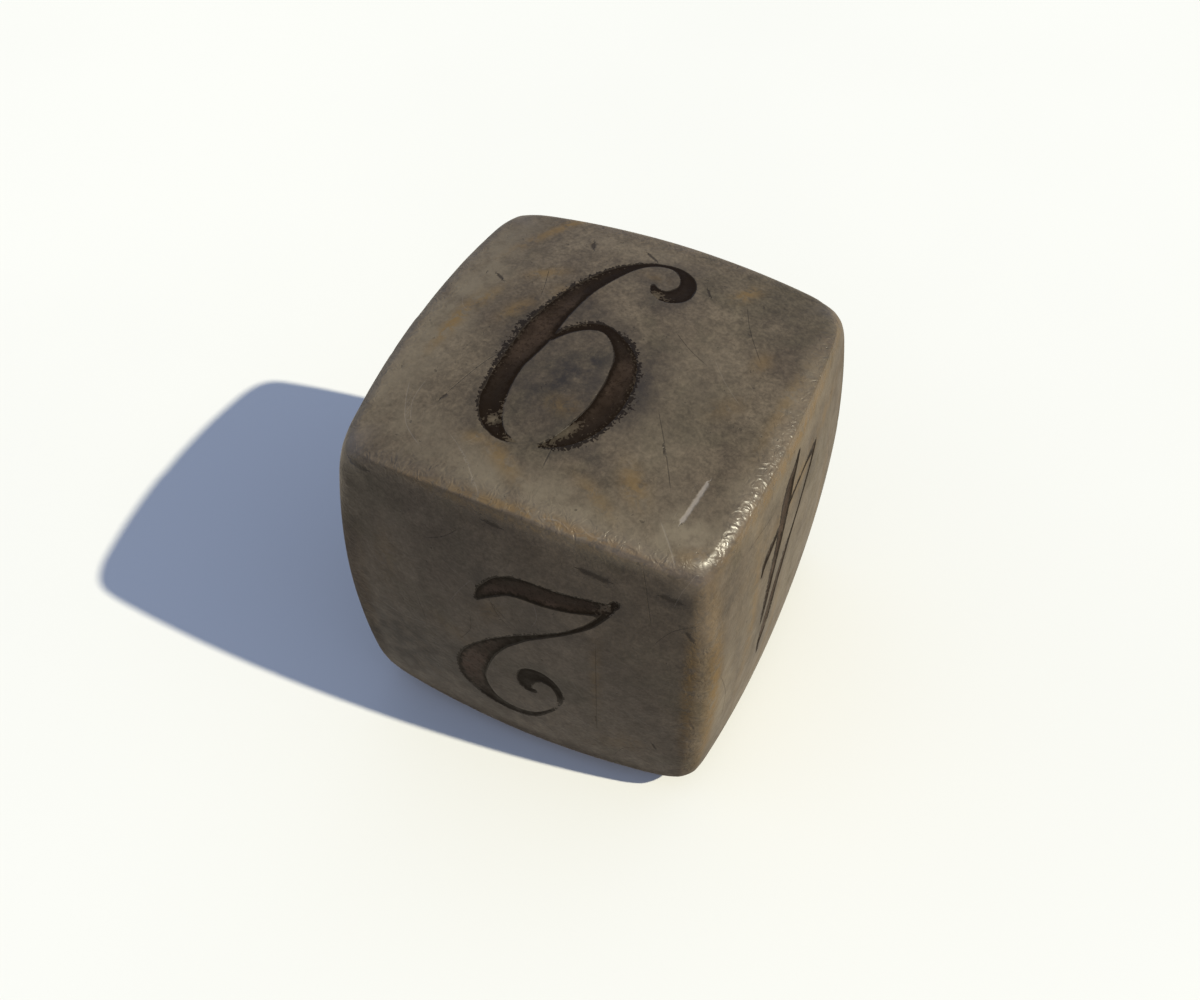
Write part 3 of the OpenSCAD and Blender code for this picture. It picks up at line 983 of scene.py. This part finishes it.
# The bone's stains: attribute, noise, the band of noise in which they show, how strongly, and colour.
BONE_STAINS = (
    ("worn", (0.8, 5, 0.7), (0.3, 0.62, 0.25, 0.9), 1.0, BONE_WORN),
    ("amber", (1.7, 4, 0.75, 0.5), (0.38, 0.53, 0.1, 1.0), 0.9, AMBER_STAIN),
    ("grey", (1.3, 4, 0.7), (0.3, 0.65, 0.3, 1.0), 0.8, GREY_STAIN),
)
# The polish: a coat with a warm tint.
COAT_ROUGHNESS = 0.35
COAT_IOR = 1.8
COAT_TINT = (1.0, 0.93, 0.82, 1)
BONE_SPECULAR = 0.2
PIGMENT_SPECULAR = 0.08
# How strongly relief shows, and its height in metres.
BONE_BUMP = (0.9, 0.00005)
PIGMENT_BUMP = (0.5, 0.00003)


def stained(t, colour):
    """The bone's colour with its stains on it, and a grey halo of dirt round the numerals."""
    for name, grain, shown, strength, stain in BONE_STAINS:
        amount = t.math("MULTIPLY", t.attribute(name), t.band(t.noise(*grain), *shown))
        colour = t.mix(t.math("MULTIPLY", amount, strength), colour, stain)
    halo = t.band(t.attribute("ink"), 0.0, 1.3, 0.35, 0.0)
    halo = t.math("MULTIPLY", halo, t.band(t.noise(0.5, 3, 0.6), 0.4, 0.62))
    return t.mix(halo, colour, GREY_STAIN)


def bone_gloss(t, dark, ink):
    """Rougher on dark marks, ink and the lower rims, and smoother and coated where it's polished."""
    polish = t.math("MULTIPLY", t.attribute("polish"), t.band(t.noise(0.3, 2), 0.4, 0.6, 0.7, 1.0))
    rough = t.band(t.noise(1.1, 4, 0.6), 0.3, 0.7, 0.36, 0.48)
    for amount, more in ((ink, 0.1), (dark, 0.1), (t.attribute("dull"), 0.25), (polish, -0.06)):
        rough = t.math("ADD", rough, t.math("MULTIPLY", amount, more))
    t.link(rough, t.shader.inputs["Roughness"])
    t.link(polish, t.shader.inputs["Coat Weight"])
    t.shader.inputs["Coat Roughness"].default_value = COAT_ROUGHNESS
    t.shader.inputs["Coat IOR"].default_value = COAT_IOR
    t.shader.inputs["Coat Tint"].default_value = COAT_TINT
    t.shader.inputs["Specular IOR Level"].default_value = BONE_SPECULAR


def bone_relief(t, dark, pale, pores):
    """A surface that crinkles most along the edges, with marks and pores sunk into it."""
    crinkle = t.noise(2.2, 1.5, 0.5, 1.7)
    crinkle = t.math("MULTIPLY", crinkle, t.band(t.attribute("rim"), 0.15, 0.85, 0.35, 1.5))
    crinkle = t.math("MULTIPLY", crinkle, t.band(t.attribute("corner"), 0.2, 0.9, 1.0, 0.45))
    height = t.math("ADD", crinkle, t.math("MULTIPLY", t.noise(6.0, 2, 0.5), 0.08))
    for amount, depth in ((dark, 0.5), (pale, 0.35), (pores, 0.25)):
        height = t.math("SUBTRACT", height, t.math("MULTIPLY", amount, depth))
    t.bump(height, *BONE_BUMP)


def bone_material():
    """Worn bone: stained, pored, scratched and inked, with polished upper edges."""
    t = Tree("bone")
    pores = t.band(t.noise(3.2, 2, 0.5), 0.70, 0.76)
    dark = mark_mask(t, "dark")
    pale = mark_mask(t, "pale")
    ink = ink_mask(t)
    colour = stained(t, bone_colour(t))
    layers = ((pores, 0.45, DARK_LINE), (dark, 0.8, DARK_LINE), (pale, 0.55, PALE_LINE), (ink, 0.93, INK))
    for amount, strength, layer in layers:
        colour = t.mix(t.math("MULTIPLY", amount, strength), colour, layer)
    t.link(colour, t.shader.inputs["Base Color"])
    bone_gloss(t, dark, ink)
    bone_relief(t, dark, pale, pores)
    return t.material


def pigment_material():
    """Brown-black pigment: darkest along its borders, browner in broad strokes, and worn off in flecks."""
    t = Tree("pigment")
    depth = t.math("MULTIPLY", t.attribute("ink"), -1)
    grain = t.band(t.noise(3.5, 4, 0.7, 0.4), 0.3, 0.7, -0.1, 0.1)
    middle = t.band(t.math("ADD", depth, grain), 0.08, 0.3)
    tone = t.band(t.noise(0.5, 3, 0.6), 0.35, 0.65, 0.35, 1.0)
    body = t.mix(t.attribute("faded"), INK_BODY, INK_FADED)
    colour = t.mix(t.math("MULTIPLY", middle, tone), INK, body)
    specks = t.band(t.noise(6.0, 3, 0.7), 0.5, 0.62, 0, 0.5)
    colour = t.mix(specks, colour, INK)
    outer = t.band(t.attribute("outer"), 0.1, 0.8)
    fringe = t.math("MULTIPLY", outer, t.band(depth, 0.0, 0.4, 0.52, 0.15))
    flecks = t.math("MULTIPLY", speckle(t, fringe), 0.22)
    gone = t.attribute("gone")
    spots = t.math("MULTIPLY", speckle(t, gone), t.band(gone, 0.5, 1.1, 0.45, 0.92))
    flecks = t.math("MAXIMUM", flecks, spots)
    colour = t.mix(flecks, colour, bone_colour(t))
    t.link(colour, t.shader.inputs["Base Color"])
    t.link(t.band(t.noise(2.0, 3, 0.6), 0.3, 0.7, 0.42, 0.6), t.shader.inputs["Roughness"])
    t.bump(t.noise(4.5, 4, 0.6, 0.5), *PIGMENT_BUMP)
    t.shader.inputs["Specular IOR Level"].default_value = PIGMENT_SPECULAR
    return t.material


FLOOR_DARKER = (0.79, 0.79, 0.775, 1)
FLOOR_LIGHTER = (0.81, 0.81, 0.795, 1)


def floor_material():
    """A plain pale surface, very slightly cloudy."""
    t = Tree("pale_floor")
    shade = t.band(t.noise(0.02, 3, 0.5), 0.3, 0.7)
    t.link(t.mix(shade, FLOOR_DARKER, FLOOR_LIGHTER), t.shader.inputs["Base Color"])
    t.shader.inputs["Roughness"].default_value = 0.9
    t.shader.inputs["Specular IOR Level"].default_value = 0.1
    return t.material


# ---- floor, light and camera

# The floor is a disc of this many metres, in rings of quads that grow outwards.
FLOOR_R = 3.0
FLOOR_RINGS = 6
FLOOR_SPOKES = 64
# Azimuths run from -Y towards +X. Both they and elevations are in degrees.
SUN_AZIMUTH = 95.2
SUN_ELEVATION = 45.4
SUN_STRENGTH = 4.08
SUN_SPREAD = 1.2
SUN_COLOUR = (1.0, 0.945, 0.74)
# The world's light above and below the horizon, and the heights between which one passes into the other.
SKY = (0.293, 0.356, 0.512, 1)
GROUND = (0.60, 0.535, 0.44, 1)
HORIZON = (-0.15, 0.05)
VIEW_AZIMUTH = 24.56
VIEW_ELEVATION = 51.22
# The camera's distance from the die's middle, and how far right of and above the picture's centre that middle
# lies, all in shares of the distance from the die's middle to the top of its crown.
VIEW_DISTANCE = 7.108
VIEW_SHIFT_RIGHT = 0.0068
VIEW_SHIFT_UP = 0.0264
LENS = 42.9
SENSOR = 36
CLIP = (0.001, 20)


def floor():
    """A wide pale disc under the die."""
    points = [(0.0, 0.0, 0.0)]
    for ring in range(1, FLOOR_RINGS + 1):
        r = FLOOR_R * (ring / FLOOR_RINGS) ** 2
        for k in range(FLOOR_SPOKES):
            a = 2 * math.pi * k / FLOOR_SPOKES
            points.append((r * math.cos(a), r * math.sin(a), 0.0))
    faces = [(0, 1 + k, 1 + (k + 1) % FLOOR_SPOKES) for k in range(FLOOR_SPOKES)]
    for ring in range(FLOOR_RINGS - 1):
        inner = 1 + ring * FLOOR_SPOKES
        outer = inner + FLOOR_SPOKES
        for k in range(FLOOR_SPOKES):
            following = (k + 1) % FLOOR_SPOKES
            faces.append((inner + k, outer + k, outer + following, inner + following))
    mesh = bpy.data.meshes.new("floor")
    mesh.from_pydata(points, [], faces)
    mesh.update()
    obj = bpy.data.objects.new("floor", mesh)
    bpy.context.scene.collection.objects.link(obj)
    obj.location.z = LOW.z
    obj.data.materials.append(floor_material())
    # The floor's own glare stays off the die, as if it stood on something dark.
    obj.visible_diffuse = False
    obj.visible_glossy = False


def direction(azimuth, elevation):
    """The unit vector towards something at that azimuth and elevation."""
    a, e = math.radians(azimuth), math.radians(elevation)
    return Vector((math.sin(a) * math.cos(e), -math.cos(a) * math.cos(e), math.sin(e)))


def key_light():
    """The warm key, from the right."""
    light = bpy.data.lights.new("key", "SUN")
    light.energy = SUN_STRENGTH
    light.angle = math.radians(SUN_SPREAD)
    light.color = SUN_COLOUR
    obj = bpy.data.objects.new("key", light)
    bpy.context.scene.collection.objects.link(obj)
    back = direction(SUN_AZIMUTH, SUN_ELEVATION)
    obj.rotation_euler = back.to_track_quat("Z", "Y").to_euler()


def soft_fill():
    """The world: cool soft light from above, and warm light from below the horizon."""
    world = bpy.data.worlds.new("soft_fill")
    bpy.context.scene.world = world
    world.use_nodes = True
    nodes, links = world.node_tree.nodes, world.node_tree.links
    background = nodes["Background"]
    place = nodes.new("ShaderNodeTexCoord")
    parts = nodes.new("ShaderNodeSeparateXYZ")
    height = nodes.new("ShaderNodeMapRange")
    blend = nodes.new("ShaderNodeMix")
    blend.data_type = "RGBA"
    height.inputs["From Min"].default_value = HORIZON[0]
    height.inputs["From Max"].default_value = HORIZON[1]
    blend.inputs[MIX_A].default_value = GROUND
    blend.inputs[MIX_B].default_value = SKY
    links.new(place.outputs["Generated"], parts.inputs[0])
    links.new(parts.outputs["Z"], height.inputs["Value"])
    links.new(height.outputs[0], blend.inputs[0])
    links.new(blend.outputs[MIX_RESULT], background.inputs["Color"])


def camera():
    """The camera, looking at the die from the front, the right and above."""
    back = direction(VIEW_AZIMUTH, VIEW_ELEVATION)
    right = Vector((0, 0, 1)).cross(back).normalized()
    up = back.cross(right)
    reach = APEX * MM
    target = CENTRE - right * VIEW_SHIFT_RIGHT * reach - up * VIEW_SHIFT_UP * reach
    data = bpy.data.cameras.new("camera")
    data.lens = LENS
    data.sensor_width = SENSOR
    data.clip_start, data.clip_end = CLIP
    obj = bpy.data.objects.new("camera", data)
    bpy.context.scene.collection.objects.link(obj)
    turn = Matrix((right, up, back)).transposed().to_4x4()
    obj.matrix_world = Matrix.Translation(target + back * VIEW_DISTANCE * reach) @ turn
    bpy.context.scene.camera = obj


def build():
    """The set, the body and the six fills, each on the root and in its CAD node's place."""
    camera()
    floor()
    key_light()
    soft_fill()
    bpy.context.scene.view_settings.view_transform = "Standard"
    body = bone_body()
    body.data.materials.append(bone_material())
    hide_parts("die_body")
    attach(body, "root")
    pigment = pigment_material()
    for node in FACES:
        fill = pigment_fill(node)
        fill.data.materials.append(pigment)
        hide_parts(node)
        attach(fill, "root")


build()
